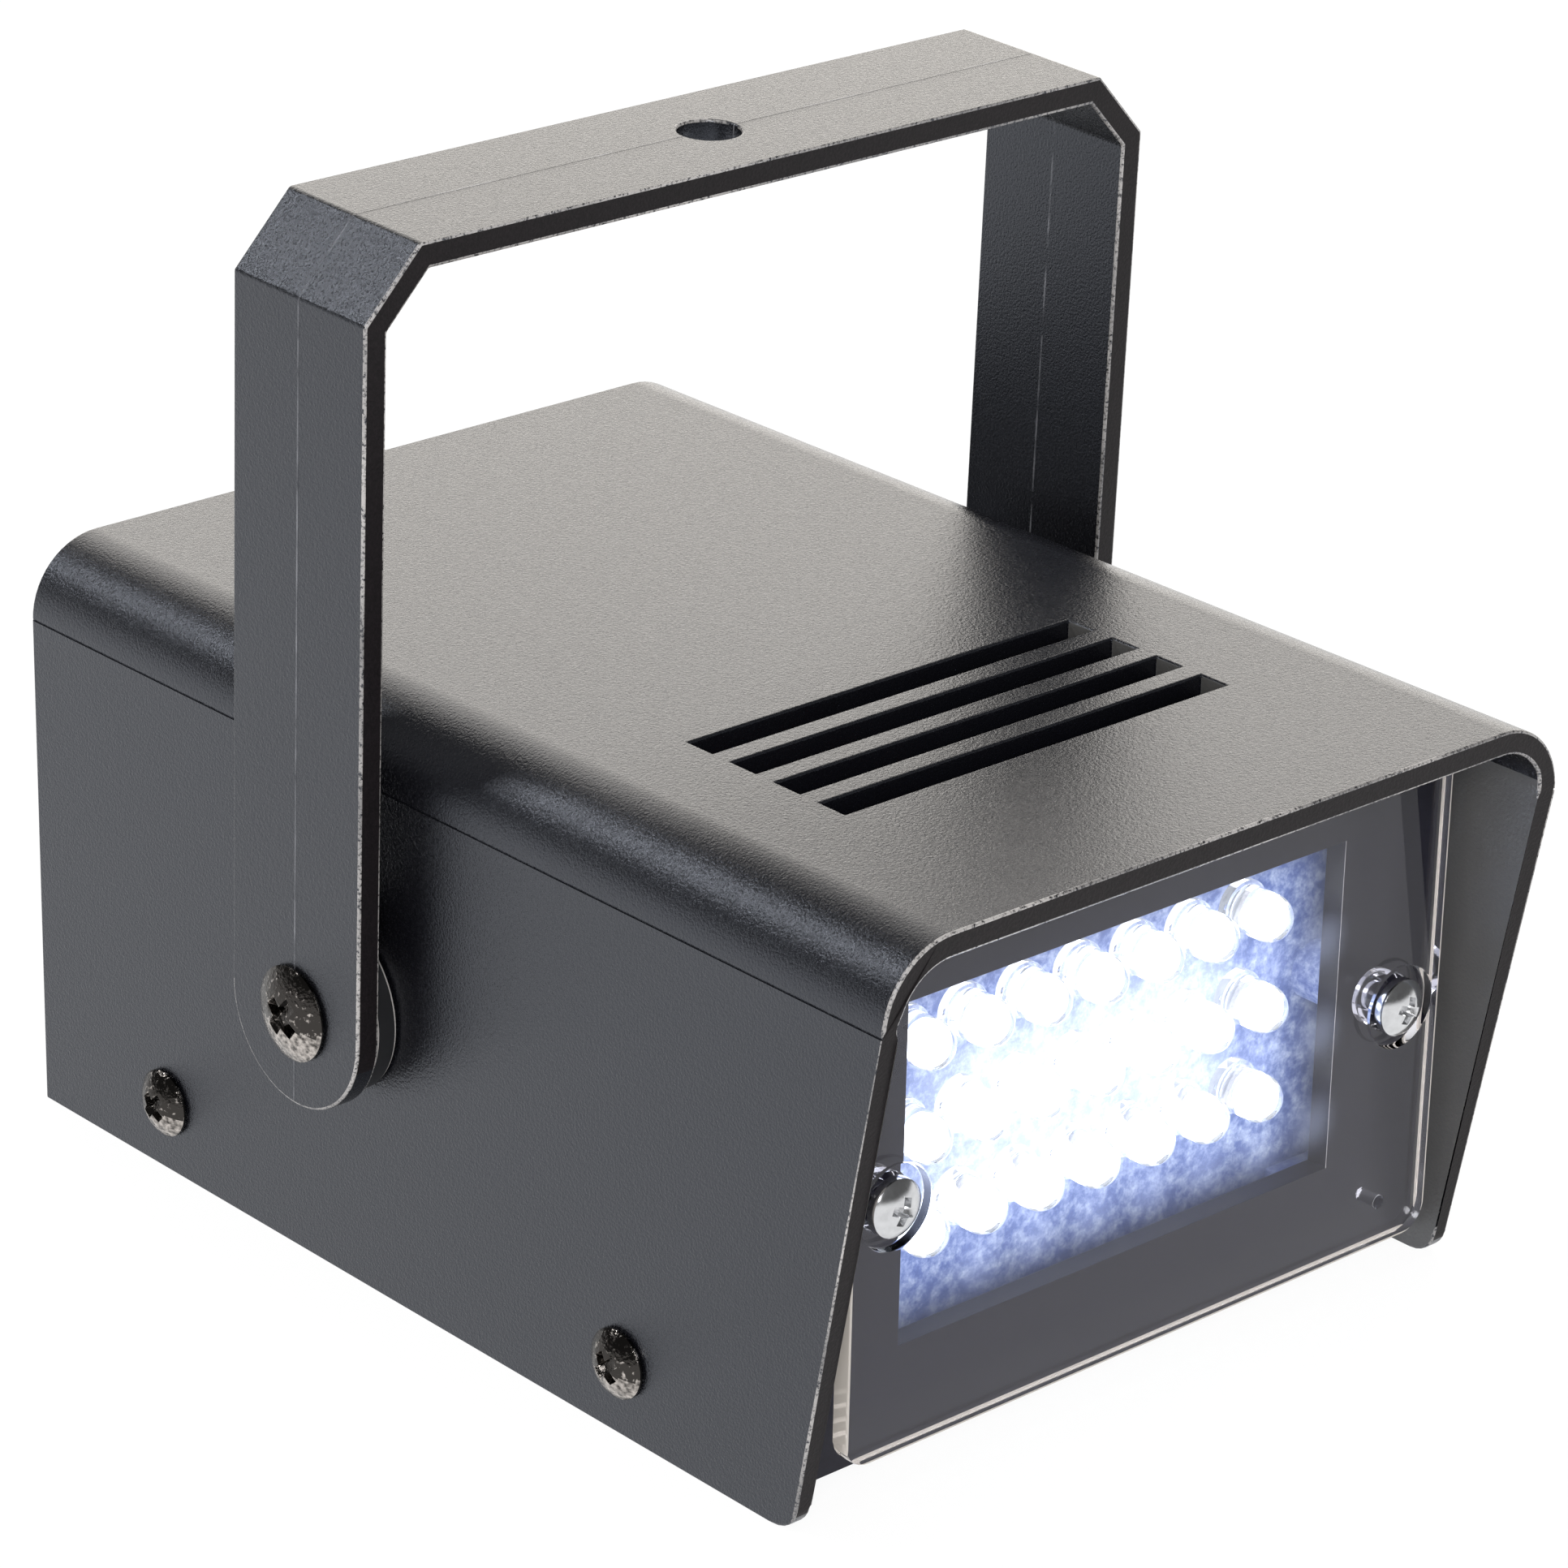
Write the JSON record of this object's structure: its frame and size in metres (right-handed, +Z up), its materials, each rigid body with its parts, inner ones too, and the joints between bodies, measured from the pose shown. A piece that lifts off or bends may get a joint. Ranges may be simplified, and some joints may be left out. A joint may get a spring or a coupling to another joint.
{
  "type": "strobe light",
  "caption": "Compact LED strobe light: hooded plastic housing with a clear lens cover over white LEDs, tilting in a U-shaped bracket, with a rate knob and cable gland behind.",
  "frame": {"origin": "bottom centre of the whole light, on the plane of the cover's skirt edges that it stands on", "axes": "-Y forward, the way the LEDs shine; +X to the right as seen from the lens side; +Z up"},
  "size_m": [0.1054, 0.1468, 0.1128],
  "materials": {
    "cover_plastic": "spark-textured moulded plastic, satin",
    "chassis_plastic": "spark-textured moulded plastic, satin",
    "bracket_plastic": "fine-textured moulded plastic, satin",
    "clear_plastic": "polished clear moulding",
    "chromed_screw": "bright plated",
    "black_screw": "glossy black plated steel",
    "zinc_steel": "zinc plated",
    "led_epoxy": "clear cast epoxy, lit white",
    "led_board_laminate": "lacquered laminate",
    "board_laminate": "lacquered laminate",
    "black_nylon": "moulded nylon, satin",
    "soft_rubber": "moulded, matt",
    "knob_plastic": "moulded, satin",
    "sleeve_vinyl": "shrink sleeve, gloss",
    "transformer_tape": "polyester tape, gloss",
    "terminal_plastic": "moulded, satin",
    "red_insulation": "extruded insulation",
    "black_insulation": "extruded insulation"
  },
  "bodies": {
    "housing": {"top_cover": "cover_plastic", "chassis": "chassis_plastic", "lens_cover": "clear_plastic", "lens_screw_left": "chromed_screw", "lens_screw_right": "chromed_screw", "led_board": "led_board_laminate", "led_row1_col1": "led_epoxy", "led_row1_col2": "led_epoxy", "led_row1_col3": "led_epoxy", "led_row1_col4": "led_epoxy", "led_row1_col5": "led_epoxy", "led_row1_col6": "led_epoxy", "led_row1_col7": "led_epoxy", "led_row2_col1": "led_epoxy", "led_row2_col2": "led_epoxy", "led_row2_col3": "led_epoxy", "led_row2_col4": "led_epoxy", "led_row2_col5": "led_epoxy", "led_row2_col6": "led_epoxy", "led_row2_col7": "led_epoxy", "led_row3_col1": "led_epoxy", "led_row3_col2": "led_epoxy", "led_row3_col3": "led_epoxy", "led_row3_col4": "led_epoxy", "led_row3_col5": "led_epoxy", "led_row3_col6": "led_epoxy", "led_row3_col7": "led_epoxy", "led_board_screw_left": "zinc_steel", "led_board_screw_right": "zinc_steel", "cover_screw_left_rear": "black_screw", "cover_screw_left_front": "black_screw", "cover_screw_right_rear": "black_screw", "cover_screw_right_front": "black_screw", "control_board": "board_laminate", "control_board_screw_left": "zinc_steel", "control_board_screw_right": "zinc_steel", "supply_transformer": "transformer_tape", "filter_capacitor": "sleeve_vinyl", "bridge_rectifier": "black_nylon", "timer_chip": "black_nylon", "terminal_block": "terminal_plastic", "led_wire_positive": "red_insulation", "led_wire_negative": "black_insulation", "rate_potentiometer": "zinc_steel", "rate_nut": "zinc_steel", "gland_body": "black_nylon", "gland_locknut": "black_nylon", "gland_cap": "black_nylon", "gland_seal": "soft_rubber", "pivot_screw_left": "black_screw", "pivot_nut_left": "zinc_steel", "pivot_spacer_left": "black_nylon", "pivot_screw_right": "black_screw", "pivot_nut_right": "zinc_steel", "pivot_spacer_right": "black_nylon"},
    "bracket": {"bracket": "bracket_plastic"},
    "rate_control": {"rate_knob": "knob_plastic", "rate_shaft": "zinc_steel"}
  },
  "joints": [
    {"name": "bracket_tilt", "type": "hinge", "parent": "housing", "child": "bracket", "pos_m": [0, 0.0052, 0.0308], "axis": [1, 0, 0], "range_deg": [-270, 56]},
    {"name": "rate_turn", "type": "hinge", "parent": "housing", "child": "rate_control", "pos_m": [0.018, 0.06, 0.036], "axis": [0, 1, 0], "range_deg": [-150, 150]}
  ]
}
